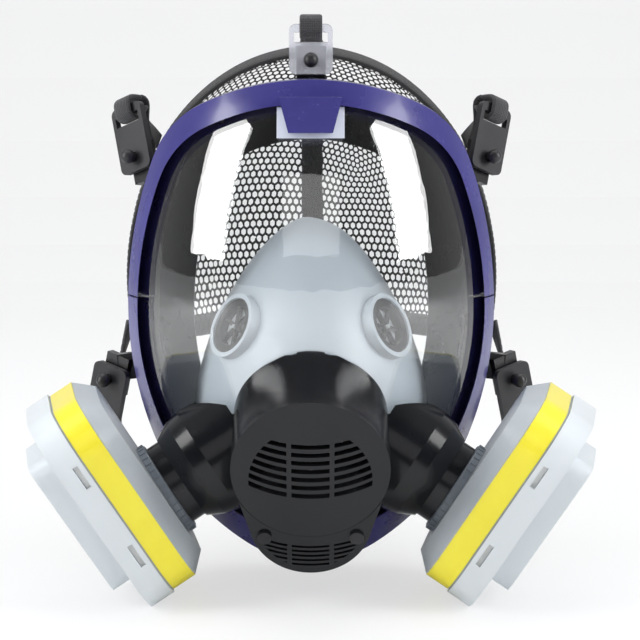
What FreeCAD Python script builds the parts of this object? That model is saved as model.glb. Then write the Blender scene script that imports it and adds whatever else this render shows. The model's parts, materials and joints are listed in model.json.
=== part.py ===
"""Full face respirator: a wide curved lens clamped to a rubber face seal by a two-piece frame, an inner
nose cup, a front port with speech diaphragm and exhalation valve, two bayonet cartridges and a net harness.

Millimetres. +X is the viewer's right, +Y runs from the lens back to the head, +Z is up."""

import FreeCAD
import Part
import Sketcher
import math
import os

V = FreeCAD.Vector
doc = FreeCAD.newDocument("FaceRespirator")
sheet = doc.addObject("Spreadsheet::Sheet", "Sizes")
parts = []

# ---------------------------------------------------------------- driving sizes
SIZES = {
    # place of the origin: centred under the object
    "origin_back": 89.57, "origin_down": 6.82,
    # lens: part of an ellipsoid shell
    "lens_half_width": 88.0, "lens_depth": 100.0, "lens_half_height": 140.0, "lens_mid_height": 125.0,
    "lens_wall": 2.6, "fit_gap": 0.25,
    # frame around the lens
    "frame_top": 221.0, "frame_wall": 2.5, "frame_lip": 3.0, "frame_depth": 14.0, "frame_joint": 124.0,
    "frame_joint_gap": 0.8, "sight_top": 211.0, "lug_wide": 7.4, "lug_deep": 10.0, "lug_tall": 8.0,
    "clamp_radius": 1.6, "clamp_head_radius": 2.8, "clamp_head_tall": 1.8, "clamp_gap": 0.1,
    "brow_half_top": 13.5, "brow_half_low": 9.5, "brow_low": 199.0, "brow_tall": 15.0, "brow_front": 8.5,
    "brow_thick": 18.0, "plate_wide": 29.0, "plate_tall": 13.0, "plate_low": 196.5, "plate_thick": 1.1,
    # rubber face seal
    "seal_inset": 9.0, "seal_wall": 3.5, "flange_wall": 3.0, "head_half_width": 95.0, "head_depth": 75.0,
    "head_half_height": 150.0, "head_front": 61.0, "mouth_top": 193.0, "bead_depth": 13.0,
    # nose cup
    "cup_wall": 2.2, "cup_back": 92.0, "cup_top": 166.0, "cup_fall": 18.0, "cup_bottom": 24.0, "cup_half_width": 48.0,
    "cup_middle_back": 45.0, "cup_neck_radius": 27.0, "cup_neck_back": 18.0, "cheek_valve_radius": 12.5,
    "cheek_x": 33.0, "cheek_z": 112.0, "cheek_collar": 3.0, "cheek_sunk": 1.0, "cheek_valve_thick": 4.0, "cheek_hole_radius": 9.0,
    "cheek_spoke": 1.4, "flap_thick": 0.8, "flap_lift": 1.5, "running_gap": 0.3,
    # front port
    "port_tilt": 22.0, "port_height": 73.0, "port_back": 7.0, "port_reach": 34.0, "port_radius": 33.5,
    "lobe_radius": 26.0, "lobe_drop": 27.0, "port_wall": 2.6, "port_tail_radius": 24.0, "port_tail_long": 23.0,
    "port_floor": 12.0,
    "port_bore_radius": 15.0, "cover_thick": 3.2, "slot_wide": 2.2, "slot_pitch": 4.1, "slot_rows": 7, "slot_first": -13.0,
    "slot_field_radius": 26.0, "slot_field_drop": 5.0, "slot_bend_radius": 52.0, "rib_wide": 2.0, "rib_offset": 9.0,
    "small_slot_wide": 1.1, "small_slot_pitch": 2.3, "small_slot_rows": 6, "small_slot_first": -51.0,
    "cover_screw_offset": 19.6, "cover_screw_drop": 34.0, "cover_screw_radius": 1.6, "cover_screw_head": 3.0,
    "seam_gap": 0.5, "diaphragm_radius": 17.0, "diaphragm_thick": 0.6, "speech_ring_wall": 3.0,
    "speech_ring_tall": 4.0, "exhale_radius": 13.0, "exhale_drop": 35.0, "exhale_seat_thick": 3.0, "nut_radius": 28.0, "nut_tall": 5.0,
    "nut_back": 17.0, "valve_wall": 2.4,
    "gasket_thick": 1.5,
    # side inlets: the mouth of each port, and the way it points
    "inlet_x": 62.0, "inlet_y": 27.0, "inlet_z": 43.0, "inlet_out": 0.83, "inlet_ahead": 0.13,
    "inlet_fall": 0.54, "inlet_mouth_radius": 19.0, "inlet_base_radius": 25.5, "inlet_wall": 2.4,
    "inlet_collar_tall": 6.0, "inlet_reach_in": 40.0, "inlet_tail_radius": 15.0,
    # cartridges
    "ring_radius": 21.5, "ring_tall": 4.0, "cartridge_long": 94.0, "cartridge_wide": 82.0,
    "cartridge_narrow": 66.0, "cartridge_corner": 20.0, "cartridge_offset": 12.0, "dish_tall": 7.5,
    "dish_inset": 7.0, "body_tall": 12.5, "shell_wall": 1.6, "label_thick": 0.5, "label_tall": 11.0,
    "retainer_grow": 1.6, "retainer_tall": 11.5, "retainer_wall": 1.5, "retainer_overlap": 1.5,
    "grille_long": 32.0, "grille_pitch": 8.0, "raised_tall": 10.0, "raised_inset": 15.0, "pad_thick": 4.0, "screen_thick": 1.0, "bed_gap": 0.4,
    "spigot_radius": 12.2, "spigot_bore": 10.0, "spigot_long": 6.0, "bayonet_lug": 14.2, "bayonet_wide": 5.0,
    "bayonet_low": 4.6, "bayonet_thick": 1.2, "bayonet_play": 0.4, "window_long": 11.0, "window_tall": 2.4,
    # buckles and their studs
    "buckle_wide": 19.2, "buckle_long": 22.0, "side_buckle_long": 31.0, "side_slot_at": 18.0, "buckle_thick": 3.0, "buckle_stand": 4.6, "slot_long": 15.0,
    "slot_tall": 4.5, "slot_at": 10.5, "stud_neck": 1.9, "stud_ball": 3.3, "stud_tall": 9.0, "tab_thick": 4.0,
    "tab_wide": 13.0, "tab_long": 18.0,
    "top_stud_out": 0.0, "top_stud_back": 55.0, "top_stud_up": 228.0, "temple_stud_out": 78.0, "temple_stud_back": 81.0,
    "temple_stud_up": 184.0, "cheek_stud_out": 92.0, "cheek_stud_back": 86.0, "cheek_stud_up": 81.0,
    "arm_thick": 5.0, "arm_wide": 12.0, "tail_inside": 5.0, "buckle_bore_gap": 0.4,
    # head harness
    "strap_wide": 10.0, "strap_thick": 2.0, "net_half_width": 86.0, "net_depth": 92.0, "net_half_height": 113.0,
    "net_mid_back": 122.0, "net_mid_height": 122.0, "net_thick": 1.6, "net_front_top": 90.0,
    "net_front_low": 126.0, "net_bottom": 86.0, "tape_thick": 2.0, "tape_wide": 11.0, "tape_gap": 0.2,
}
for row, (alias, value) in enumerate(SIZES.items(), start=1):
    sheet.set(f"A{row}", alias)
    sheet.set(f"B{row}", str(value))
    sheet.setAlias(f"B{row}", alias)
doc.recompute()


def size(alias):
    """A driving size as a number."""
    return float(sheet.get(alias))


def cell(text):
    """An expression whose driving sizes are read from the sheet."""
    words = sorted((word for word in SIZES if word in text), key=len, reverse=True)
    for place, word in enumerate(words):
        text = text.replace(word, f"@{place}@")
    for place, word in enumerate(words):
        text = text.replace(f"@{place}@", f"Sizes.{word}")
    return text


# ---------------------------------------------------------------- places
HOME = V(0, -size("origin_back"), size("origin_down"))


def frame_at(point, z_way, y_way=V(0, 0, 1)):
    """A placement whose own Z points along z_way and whose own Y leans towards y_way."""
    z_axis = V(z_way).normalize()
    x_axis = y_way.cross(z_axis).normalize()
    y_axis = z_axis.cross(x_axis)
    matrix = FreeCAD.Matrix(
        x_axis.x, y_axis.x, z_axis.x, point.x,
        x_axis.y, y_axis.y, z_axis.y, point.y,
        x_axis.z, y_axis.z, z_axis.z, point.z,
        0, 0, 0, 1,
    )
    return FreeCAD.Placement(matrix)


def lift(height, base=None):
    """A placement moved along its own Z."""
    return (base or FreeCAD.Placement()).multiply(FreeCAD.Placement(V(0, 0, height), FreeCAD.Rotation()))


ORIGIN = FreeCAD.Placement(HOME, FreeCAD.Rotation())
tilt = math.radians(size("port_tilt"))
PORT = frame_at(HOME + V(0, size("port_back"), size("port_height")), V(0, -math.cos(tilt), -math.sin(tilt)))


def inlet_frame(side):
    """The middle of a side port's mouth. Own Z points out of the port; own Y runs up the cartridge."""
    out = V(side * size("inlet_out"), -size("inlet_ahead"), -size("inlet_fall"))
    return frame_at(HOME + V(side * size("inlet_x"), size("inlet_y"), size("inlet_z")), out)


# ---------------------------------------------------------------- builders
def bind(thing, **sizes):
    """Binds each named property of thing to an expression over the sheet, and returns thing."""
    for name, text in sizes.items():
        thing.setExpression(name, cell(str(text)))
    return thing


def solid(kind, name, place=None, **sizes):
    thing = bind(doc.addObject("Part::" + kind, name), **sizes)
    thing.Placement = place or FreeCAD.Placement()
    return thing


def cut(name, base, *tools):
    """base less every tool, one Part::Cut after another."""
    for number, tool in enumerate(tools):
        thing = doc.addObject("Part::Cut", name if number == len(tools) - 1 else f"{name}_cut{number}")
        thing.Base, thing.Tool = base, tool
        base = thing
    return base


def common(name, *shapes):
    thing = doc.addObject("Part::MultiCommon", name)
    thing.Shapes = list(shapes)
    return thing


def fuse(name, *shapes):
    thing = doc.addObject("Part::MultiFuse", name)
    thing.Shapes = list(shapes)
    return thing


def fixed(name, shape, place=None):
    """A Part::Feature for a form that neither a body nor a primitive gives."""
    thing = doc.addObject("Part::Feature", name)
    thing.Shape = shape
    thing.Placement = place or FreeCAD.Placement()
    return thing


def keep(thing, label):
    """Marks thing as a sub-part, written to parts/LABEL.step."""
    thing.Label = label
    parts.append(thing)
    return thing


def sketch_on(body, name, plane, points):
    """A closed polygon on one of the body's own origin planes, every corner bound to the sheet."""
    drawing = body.newObject("Sketcher::SketchObject", name)
    role = next(feature for feature in body.Origin.OriginFeatures if feature.Role == plane)
    drawing.AttachmentSupport = [(role, "")]
    drawing.MapMode = "FlatFace"
    places = [(evaluate(across), evaluate(along)) for across, along in points]
    count = len(points)
    for number in range(count):
        start, end = places[number], places[(number + 1) % count]
        drawing.addGeometry(Part.LineSegment(V(start[0], start[1], 0), V(end[0], end[1], 0)), False)
    for number in range(count):
        drawing.addConstraint(Sketcher.Constraint("Coincident", number, 2, (number + 1) % count, 1))
    for number, (across, along) in enumerate(points):
        for way, text, value in (("X", across, places[number][0]), ("Y", along, places[number][1])):
            index = drawing.addConstraint(Sketcher.Constraint("Distance" + way, -1, 1, number, 1, value))
            drawing.setExpression(f"Constraints[{index}]", cell(str(text)))
    return drawing


def evaluate(text):
    """The value of an expression over the sheet, for a sketch's first draft."""
    return float(sheet.evalExpression(cell(str(text))))


def turned(name, profile, place=None):
    """A body revolved about its own Z. profile lists (radius, height) corners as expressions."""
    body = doc.addObject("PartDesign::Body", name)
    drawing = sketch_on(body, name + "_profile", "XZ_Plane", profile)
    spin = body.newObject("PartDesign::Revolution", name + "_turn")
    spin.Profile = drawing
    spin.ReferenceAxis = (drawing, ["V_Axis"])
    spin.Angle = 360
    body.Placement = place or FreeCAD.Placement()
    return body


def plate(name, outline, thickness, place=None, corner=None):
    """A body padded up its own Z from a polygon of (across, along) corners, its upright edges rounded."""
    body = doc.addObject("PartDesign::Body", name)
    drawing = sketch_on(body, name + "_outline", "XY_Plane", outline)
    pad = body.newObject("PartDesign::Pad", name + "_pad")
    pad.Profile = drawing
    bind(pad, Length=thickness)
    doc.recompute()
    if corner:
        upright = [
            f"Edge{number}"
            for number, edge in enumerate(pad.Shape.Edges, start=1)
            if len(edge.Vertexes) == 2
            and abs(edge.Vertexes[0].Point.x - edge.Vertexes[1].Point.x) < 1e-6
            and abs(edge.Vertexes[0].Point.y - edge.Vertexes[1].Point.y) < 1e-6
        ]
        rounding = body.newObject("PartDesign::Fillet", name + "_corners")
        rounding.Base = (pad, upright)
        bind(rounding, Radius=corner)
    body.Placement = place or FreeCAD.Placement()
    return body


def centred(wide, long, x="0", y="0"):
    """The corners of a rectangle around a point, as expressions."""
    return [
        (f"{x} - {wide}/2", f"{y} - {long}/2"), (f"{x} + {wide}/2", f"{y} - {long}/2"),
        (f"{x} + {wide}/2", f"{y} + {long}/2"), (f"{x} - {wide}/2", f"{y} + {long}/2"),
    ]


# ---------------------------------------------------------------- the egg outline and its prisms
# Half outlines: the angle of the outward normal where each arc ends, and the arc's radius. The last arc closes
# the chin, so its radius follows from the others.
FRAME_ARCS = [(64, 110), (20, 44), (0, 200), (-22, 152), (-45, 85), (-57, 150)]
SIGHT_ARCS = [(64, 104), (20, 42), (0, 178), (-22, 118), (-45, 88), (-57, 118)]
OPENING_ARCS = [(62, 70), (20, 22), (0, 170), (-20, 120), (-52, 42)]


def egg(top, arcs, grow=0.0):
    """A closed wire in the XZ plane made of tangent arcs, mirrored about X = 0 and grown outwards."""
    x, z, angle = 0.0, top + grow, 90.0
    half = []
    closing = (-90, None)
    for end, radius in [*arcs, closing]:
        if radius is None:
            radius = x / math.cos(math.radians(angle))
        else:
            radius += grow
        a0, a1 = math.radians(angle), math.radians(end)
        middle = V(x - radius * math.cos(a0), 0, z - radius * math.sin(a0))
        ends = [middle + V(radius * math.cos(a), 0, radius * math.sin(a)) for a in (a0, (a0 + a1) / 2, a1)]
        half.append(ends)
        x, z, angle = ends[2].x, ends[2].z, end
    half[-1][2].x = 0.0
    edges = [Part.Arc(*ends).toShape() for ends in half]
    mirrored = [Part.Arc(*[V(-p.x, 0, p.z) for p in reversed(ends)]).toShape() for ends in reversed(half)]
    return Part.Wire(edges + mirrored)


def prism(name, top, arcs, grow=0.0, start=-20.0, end=190.0):
    """The outline swept from start to end along +Y."""
    face = Part.Face(egg(top, arcs, grow))
    face.translate(V(0, start, 0))
    return fixed(name, face.extrude(V(0, end - start, 0)), ORIGIN)


def lens_dome(name, offset):
    """The solid inside the lens's outer face, moved outwards by offset."""
    shift = f" + {offset}" if not str(offset).startswith("-") else f" - {str(offset)[1:]}"
    middle = V(0, size("lens_depth"), size("lens_mid_height"))
    return solid(
        "Ellipsoid", name, FreeCAD.Placement(HOME + middle, FreeCAD.Rotation()),
        Radius1="lens_half_height" + shift, Radius2="lens_half_width" + shift, Radius3="lens_depth" + shift,
    )


def head_dome(name, grow):
    """The wearer's face as an ellipsoid, grown outwards by grow."""
    middle = V(0, size("head_front") + size("head_depth"), size("lens_mid_height"))
    return solid(
        "Ellipsoid", name, FreeCAD.Placement(HOME + middle, FreeCAD.Rotation()),
        Radius1=f"head_half_height + {grow}", Radius2=f"head_half_width + {grow}", Radius3=f"head_depth + {grow}",
    )


top, inset = size("frame_top"), size("seal_inset")
outer_dome = lens_dome("lens_face", "0")
inner_dome = lens_dome("lens_inside", "-lens_wall")

# ---------------------------------------------------------------- side ports and their place in the lens
INLETS = {"left": inlet_frame(-1), "right": inlet_frame(1)}




def tail_hole(side, grow):
    """The hole that the port's tail passes through."""
    return bind(solid("Cylinder", f"tail_hole_{side}_{len(doc.Objects)}", lift(-60, INLETS[side])),
                Radius=f"inlet_tail_radius + {grow}", Height=90)


# ---------------------------------------------------------------- lens
port_hole = bind(solid("Cylinder", "lens_port_hole", lift(-30, PORT)), Radius="port_tail_radius + fit_gap", Height=60)
lens = common("lens_blank", prism("lens_outline", top, FRAME_ARCS, -size("frame_wall") - size("fit_gap"), end=size("lens_depth")), outer_dome)
keep(cut("lens_cut", lens, inner_dome, port_hole, tail_hole("left", "fit_gap"), tail_hole("right", "fit_gap")), "lens")

# ---------------------------------------------------------------- two-piece frame
def dome_behind(name, depth):
    """The lens's outer dome moved straight back by depth."""
    dome = lens_dome(name, "0")
    dome.Placement.Base = dome.Placement.Base + V(0, depth, 0)
    return dome


def slab(name, low, high):
    """A wide box between two heights."""
    return bind(solid("Box", name, FreeCAD.Placement(HOME + V(-150, -60, low), FreeCAD.Rotation())),
                Length=300, Width=360, Height=high - low)


def at(x, y, z):
    return FreeCAD.Placement(HOME + V(x, y, z), FreeCAD.Rotation())


FRONTAL = FreeCAD.Rotation(V(1, 0, 0), V(0, 0, 1), V(0, -1, 0), "XYZ")
half_wide = egg(top, FRAME_ARCS).BoundBox.XMax
side_back = size("lens_depth") * (1 - math.sqrt(1 - (half_wide / size("lens_half_width")) ** 2))
ear_x = half_wide - size("lug_wide") / 2 - 0.1
ear_y = side_back + size("frame_depth") - size("frame_wall") + size("lug_deep") / 2 - 3.5
frame_ring = cut(
    "frame_ring",
    common("frame_blank", prism("frame_outline", top, FRAME_ARCS), lens_dome("frame_face", "frame_lip")),
    dome_behind("frame_back", size("frame_depth")),
    prism("sight_outline", size("sight_top"), SIGHT_ARCS),
    common("frame_groove", prism("groove_outline", top, FRAME_ARCS, -size("frame_wall")),
           lens_dome("groove_face", "fit_gap")),
)
brow_block = plate("brow_block", [
    ("-brow_half_low", "0"), ("brow_half_low", "0"), ("brow_half_top", "brow_tall"), ("-brow_half_top", "brow_tall"),
], "brow_thick", FreeCAD.Placement(HOME + V(0, size("brow_front") + size("brow_thick"), size("brow_low")), FRONTAL))
brow_slope = solid("Box", "brow_slope", at(-30, size("brow_front"), size("brow_low") - 24), Length=60, Width=40, Height=30)
brow_slope.Placement = brow_slope.Placement.multiply(FreeCAD.Placement(V(), FreeCAD.Rotation(V(1, 0, 0), -35)))


def ear(side, upper):
    """A lug behind the frame's side for the clamp screw."""
    gap, tall = size("frame_joint_gap") / 2, size("lug_tall")
    low = size("frame_joint") + (gap if upper else -gap - tall)
    return solid("Box", f"ear_{side}_{upper}",
                 at(side * ear_x - size("lug_wide") / 2, ear_y - size("lug_deep") / 2, low),
                 Length="lug_wide", Width="lug_deep", Height="lug_tall")


def clamp_hole(side):
    return solid("Cylinder", f"clamp_hole_{side}_{len(doc.Objects)}", at(side * ear_x, ear_y, size("frame_joint") - 20),
                 Radius="clamp_radius + clamp_gap", Height=40)


joint, gap = size("frame_joint"), size("frame_joint_gap")
brow = cut("brow", brow_block, lens_dome("brow_seat", "plate_thick + fit_gap*3"), brow_slope)
upper = fuse("frame_upper_blank", common("frame_upper_ring", frame_ring, slab("above_joint", joint + gap / 2, 260)),
             ear(-1, True), ear(1, True), brow)
keep(cut("frame_upper_body", upper, clamp_hole(-1), clamp_hole(1)), "frame_upper")
lower = fuse("frame_lower_blank", common("frame_lower_ring", frame_ring, slab("below_joint", -40, joint - gap / 2)),
             ear(-1, False), ear(1, False))
keep(cut("frame_lower_body", lower, clamp_hole(-1), clamp_hole(1), tail_hole("left", "fit_gap"),
         tail_hole("right", "fit_gap")), "frame_lower")


def clamp_screw(side):
    """A screw down through both lugs with a nut below."""
    low = size("frame_joint") - size("frame_joint_gap") / 2 - size("lug_tall")
    return turned(f"clamp_screw_{side}", [
        ("0", "-2.4"), ("clamp_head_radius", "-2.4"), ("clamp_head_radius", "0"), ("clamp_radius", "0"),
        ("clamp_radius", "lug_tall*2 + frame_joint_gap"), ("clamp_head_radius", "lug_tall*2 + frame_joint_gap"),
        ("clamp_head_radius", "lug_tall*2 + frame_joint_gap + clamp_head_tall"),
        ("0", "lug_tall*2 + frame_joint_gap + clamp_head_tall"),
    ], at(side * ear_x, ear_y, low))


def group(label, *things):
    """Identical fasteners kept as one sub-part of separate solids."""
    doc.recompute()
    return keep(fixed(label + "_group", Part.makeCompound([thing.Shape for thing in things])), label)


group("clamp_screws", clamp_screw(-1), clamp_screw(1))
plate_box = solid("Box", "brow_plate_box", at(-size("plate_wide") / 2, 0, size("plate_low")),
                  Length="plate_wide", Width=40, Height="plate_tall")
keep(cut("brow_plate_shell", common("brow_plate_blank", plate_box, lens_dome("brow_plate_face", "plate_thick + fit_gap")),
         lens_dome("brow_plate_back", "fit_gap")), "brow_plate")

# ---------------------------------------------------------------- face seal: bead, skirt and turned-in flange
skirt_in = -inset - size("seal_wall")
front_limit = -size("lens_wall") - size("fit_gap")
bead = cut("bead", common("bead_blank", prism("bead_outline", top, FRAME_ARCS, -size("frame_wall") - size("fit_gap")),
                          lens_dome("bead_front", "-lens_wall - fit_gap")),
           dome_behind("bead_back", size("bead_depth")), prism("bead_inside", top, FRAME_ARCS, skirt_in))
skirt = cut("skirt", common("skirt_blank", prism("skirt_outline", top, FRAME_ARCS, -inset),
                            lens_dome("skirt_front", "-lens_wall - fit_gap")),
            head_dome("skirt_back", "0"), prism("skirt_inside", top, FRAME_ARCS, skirt_in))
flange = cut("flange", common("flange_blank", prism("flange_outline", top, FRAME_ARCS, -inset),
                              head_dome("flange_front", "flange_wall")),
             head_dome("flange_back", "0"), prism("mouth", size("mouth_top"), OPENING_ARCS),
             solid("Box", "behind_head", at(-150, size("head_front") + size("head_depth"), -30),
                   Length=300, Width=200, Height=300))
# ---------------------------------------------------------------- buckle studs, on rubber tabs of the seal
# Each buckle's own Z is its stud's axis, pointing forwards, and its own Y runs from the stud to its strap.
def buckle_frame(side, word):
    x, y, z = (size(f"{word}_stud_{way}") for way in ("out", "back", "up"))
    ahead, along = {"top": ((0, -1, 0.12), (0, 0, 1)), "temple": ((side * 0.66, -0.74, 0.1), (side * 0.25, 0.2, 0.9)),
                    "cheek": ((side * 0.55, -0.83, 0), (side * 0.1, 0.3, -1))}[word]
    return frame_at(HOME + V(side * x, y, z), V(*ahead), V(*along))


BUCKLES = {"top": buckle_frame(0, "top")}
for side, word in ((-1, "left"), (1, "right")):
    BUCKLES["temple_" + word] = buckle_frame(side, "temple")
    BUCKLES["cheek_" + word] = buckle_frame(side, "cheek")
SLOT_AT = {name: "slot_at" if name == "top" else "side_slot_at" for name in BUCKLES}
tabs = []
for name, place in BUCKLES.items():
    tab = solid("Box", f"tab_{name}",
                place.multiply(FreeCAD.Placement(V(-size("tab_wide") / 2, -size("tab_long") * 0.62, -size("tab_thick")),
                                                 FreeCAD.Rotation())),
                Length="tab_wide", Width="tab_long", Height="tab_thick")
    foot = place.multVec(V(0, -size("tab_long") * 0.3, -size("tab_thick") / 2))
    side = -1 if foot.x < 0 else 1
    inward, across = {"top": (V(0, 0.12, -1), V(1, 0, 0)), "temp": (V(-side, 0.1, -0.16), V(0, 0, 1)),
                      "chee": (V(-side, -0.02, 0.1), V(0, 0, 1))}[name[:4]]
    arm_place = frame_at(foot, inward, across).multiply(FreeCAD.Placement(
        V(-size("arm_thick") / 2, -size("arm_wide") / 2, 0), FreeCAD.Rotation()))
    tabs += [tab, solid("Box", f"arm_{name}", arm_place, Length="arm_thick", Width="arm_wide",
                        Height={"top": 12, "temp": 20, "chee": 26}[name[:4]])]
keep(fuse("seal", bead, skirt, flange, *tabs), "face_seal")


def stud(name, place):
    """A ball-headed stud that holds the buckle on its tab."""
    neck = turned(f"stud_{name}", [
        ("0", "0"), ("stud_neck + 1.6", "0"), ("stud_neck + 1.6", "0.9"), ("stud_neck", "0.9"),
        ("stud_neck", "stud_tall - stud_ball"), ("0", "stud_tall - stud_ball"),
    ], place)
    ball = bind(solid("Sphere", f"stud_ball_{name}", lift(size("stud_tall") - 1.0, place)), Radius="stud_ball")
    return fuse(f"stud_whole_{name}", neck, ball)


group("buckle_studs", *[stud(name, place) for name, place in BUCKLES.items()])


def buckle(name, place):
    """A flat loop that swivels on its stud: a keyhole for the neck and a slot for the strap."""
    base = lift(1.2, place)
    slot_at, long = SLOT_AT[name], "buckle_long" if name == "top" else "side_buckle_long"
    body = plate(f"buckle_{name}_plate", centred("buckle_wide", long, "0", f"{slot_at}/2"), "buckle_thick", base, "3")
    hole = bind(solid("Cylinder", f"buckle_{name}_hole", place), Radius="stud_neck + buckle_bore_gap", Height=20)
    shift = FreeCAD.Placement(V(-size("slot_long") / 2, size(slot_at) - size("slot_tall") / 2, -5), FreeCAD.Rotation())
    slot = solid("Box", f"buckle_{name}_slot", base.multiply(shift), Length="slot_long", Width="slot_tall", Height=20)
    keep(cut(f"buckle_{name}_cut", body, hole, slot), f"buckle_{name}")


for name, place in BUCKLES.items():
    buckle(name, place)

# ---------------------------------------------------------------- front port
def hull(name, grow, low, high):
    """The port's outline, a large disc and a smaller lobe below it joined by tangents, swept along the port."""
    big, small, drop = size("port_radius") + grow, size("lobe_radius") + grow, size("lobe_drop")
    lean = math.asin((big - small) / drop)
    points = []
    for radius, y in ((big, 0.0), (small, -drop)):
        points.append(V(radius * math.cos(lean), y + radius * math.sin(-lean), 0))
    upper_arc = Part.Arc(points[0], V(0, big, 0), V(-points[0].x, points[0].y, 0)).toShape()
    lower_arc = Part.Arc(V(-points[1].x, points[1].y, 0), V(0, -drop - small, 0), points[1]).toShape()
    left = Part.LineSegment(V(-points[0].x, points[0].y, 0), V(-points[1].x, points[1].y, 0)).toShape()
    right = Part.LineSegment(points[1], points[0]).toShape()
    face = Part.Face(Part.Wire([upper_arc, left, lower_arc, right]))
    return fixed(name, face.extrude(V(0, 0, high - low)), lift(low, PORT))


def port_cylinder(name, radius, low, high, y=0.0, x=0.0):
    place = PORT.multiply(FreeCAD.Placement(V(x, y, low), FreeCAD.Rotation()))
    return bind(solid("Cylinder", name, place), Radius=radius, Height=high - low)


def port_box(name, wide, y0, y1, z0, z1, x=0.0):
    place = PORT.multiply(FreeCAD.Placement(V(x - wide / 2, y0, z0), FreeCAD.Rotation()))
    return solid("Box", name, place, Length=wide, Width=y1 - y0, Height=z1 - z0)


def port_elbow(side):
    """A flared port that sits on the lens, with a tail through the lens and a bayonet groove in its mouth."""
    place = INLETS[side]
    outside = turned(f"elbow_{side}_outside", [
        ("0", "-inlet_reach_in"), ("inlet_base_radius", "-inlet_reach_in"),
        ("inlet_base_radius", "-inlet_reach_in/2"), ("inlet_base_radius - 1.5", "-inlet_reach_in/3"),
        ("inlet_mouth_radius + 1", "-inlet_collar_tall"), ("inlet_mouth_radius", "-inlet_collar_tall"),
        ("inlet_mouth_radius", "0"), ("0", "0"),
    ], place)
    seated = cut(f"elbow_{side}_seated", outside, lens_dome(f"elbow_{side}_seat", "fit_gap"))
    tail = cut(f"elbow_{side}_tail", solid("Cylinder", f"elbow_{side}_tail_rod", lift(-size("inlet_reach_in") - 5, place),
                                          Radius="inlet_tail_radius", Height="inlet_reach_in"),
               lens_dome(f"elbow_{side}_tail_end", "-lens_wall - tail_inside"),
               port_cylinder(f"elbow_{side}_nut_room", "nut_radius + running_gap", -40, 0))
    bore = solid("Cylinder", f"elbow_{side}_bore", lift(-60, place), Radius="spigot_radius + bayonet_play", Height=70)
    deep = size("bayonet_low") + size("bayonet_play")
    groove = solid("Cylinder", f"elbow_{side}_groove", lift(-deep, place), Radius="bayonet_lug + bayonet_play",
                   Height="bayonet_thick + bayonet_play*2")
    entry_disc = solid("Cylinder", f"elbow_{side}_entry_disc", lift(-deep, place),
                       Radius="bayonet_lug + bayonet_play", Height=20)
    entry_bar = solid("Box", f"elbow_{side}_entry_bar", place.multiply(FreeCAD.Placement(
        V(-size("bayonet_wide") / 2 - size("bayonet_play"), -30, -20), FreeCAD.Rotation())),
        Length="bayonet_wide + bayonet_play*2", Width=60, Height=40)
    frame_room = cut(f"elbow_{side}_frame_room",
                     common(f"elbow_{side}_frame_blank", prism(f"elbow_{side}_frame_out", top, FRAME_ARCS, size("fit_gap")),
                            lens_dome(f"elbow_{side}_frame_face", "frame_lip + fit_gap")),
                     prism(f"elbow_{side}_sight", size("sight_top"), SIGHT_ARCS, -size("fit_gap")))
    base = cut(f"elbow_{side}_base", seated, hull(f"elbow_{side}_port_room", size("fit_gap"), -30, size("port_reach") + 5),
               frame_room)
    keep(cut(f"elbow_{side}", fuse(f"elbow_{side}_tube", base, tail), bore, groove,
             common(f"elbow_{side}_entry", entry_disc, entry_bar)), f"inlet_port_{side}")


for name in INLETS:
    port_elbow(name)


reach, floor, thick = size("port_reach"), size("port_floor"), size("cover_thick")
exhale_y = -size("exhale_drop")
case = fuse("port_case", cut("port_case_seated", hull("port_case_outline", 0, -25, reach - thick - 0.2),
                             lens_dome("port_seat", "gasket_thick")),
            port_cylinder("port_tail", "port_tail_radius", -size("port_tail_long"), 4))
screw_x, screw_y = size("cover_screw_offset"), -size("cover_screw_drop")
keep(cut("port_housing_body", case, hull("port_cavity", -size("port_wall"), floor, reach),
         port_cylinder("port_bore", "port_bore_radius", -40, floor + 5),
         port_box("exhale_channel", 18, exhale_y, 0, 2, 8),
         port_cylinder("exhale_hole", "exhale_radius - valve_wall*1.2", 2, floor + 2, exhale_y)), "port_housing")
gasket = cut("port_gasket_blank", common("port_gasket_ring", hull("port_gasket_outline", -1.0, -25, 10),
                                         lens_dome("gasket_top", "gasket_thick - 0.12")),
             lens_dome("gasket_under", "0.12"), port_cylinder("gasket_hole", "port_tail_radius + fit_gap", -40, 40),
             tail_hole("left", "fit_gap"), tail_hole("right", "fit_gap"))
keep(gasket, "port_gasket")
back = size("nut_back")
nut = cut("port_nut_body", port_cylinder("nut_disc", "nut_radius", -back, -back + size("nut_tall")),
          port_cylinder("nut_bore", "port_tail_radius + fit_gap/5", -40, 0),
          *[port_box(f"nut_notch_{n}", 6, size("nut_radius") - 2.2, 40, -30, 0, x) for n, x in enumerate((-9, 9))])
keep(nut, "port_lock_nut")

# speech diaphragm under its clamp ring, over the bore
keep(port_cylinder("diaphragm_disc", "diaphragm_radius", floor + 0.05, floor + 0.05 + size("diaphragm_thick")),
     "speech_diaphragm")
ring_low = floor + 0.1 + size("diaphragm_thick")
ring = cut("speech_ring_body",
           port_cylinder("speech_ring_disc", "diaphragm_radius + 1.5", ring_low, ring_low + size("speech_ring_tall")),
           port_cylinder("speech_ring_bore", "diaphragm_radius - speech_ring_wall", 0, 60))
keep(ring, "speech_ring")


def spokes(name, place, radius, wide, low, high, count=3):
    """Bars across a round opening."""
    bars = []
    for number in range(count):
        turn = FreeCAD.Placement(V(), FreeCAD.Rotation(V(0, 0, 1), number * 180 / count + 15))
        shift = FreeCAD.Placement(V(-radius, -wide / 2, low), FreeCAD.Rotation())
        bars.append(solid("Box", f"{name}_bar{number}", place.multiply(turn).multiply(shift),
                          Length=2 * radius, Width=wide, Height=high - low))
    return bars


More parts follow.
